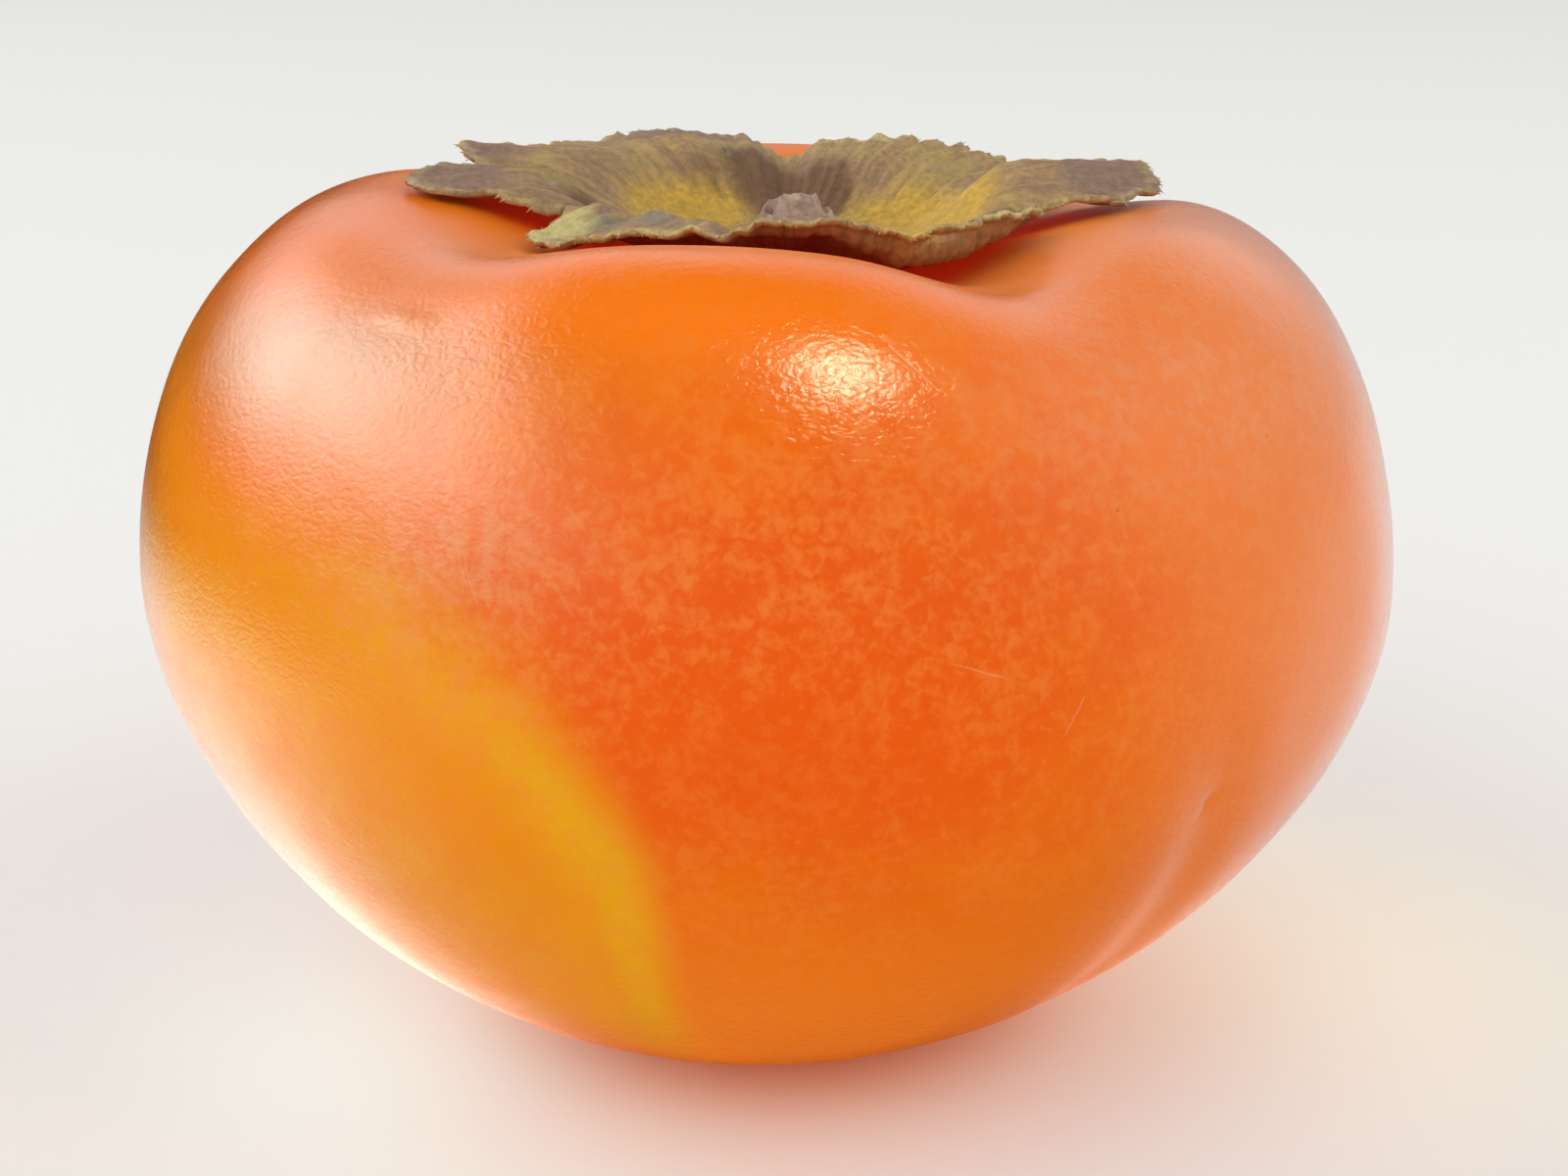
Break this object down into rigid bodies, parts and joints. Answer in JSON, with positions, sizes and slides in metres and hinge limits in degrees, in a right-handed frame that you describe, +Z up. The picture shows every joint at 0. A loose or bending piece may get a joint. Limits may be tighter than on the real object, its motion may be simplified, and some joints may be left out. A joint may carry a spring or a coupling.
{
  "type": "persimmon",
  "caption": "Squat, four-lobed ripe persimmon with its dried, frayed calyx and a short woody stem stub, standing upright on the flat of its blossom end.",
  "frame": {"origin": "on the surface that the fruit stands on, in the middle of the fruit's outline seen from above", "axes": "+Z up, from the blossom end to the stem. -Y is the side with the front lobe, and +X is to the right of it"},
  "size_m": [0.082, 0.0776, 0.0583],
  "materials": {
    "skin": "satin waxy skin, deep orange with a yellow-orange patch and a faint pale bloom",
    "dry_calyx": "matt, papery and wrinkled, olive tan with purple-brown tips",
    "stub_wood": "matt, rough and weathered",
    "dark_style": "matt, dried dark"
  },
  "bodies": {
    "root": {"fruit": "skin", "calyx": "dry_calyx", "stem_stub": "stub_wood", "style_remnant": "dark_style"}
  },
  "joints": []
}
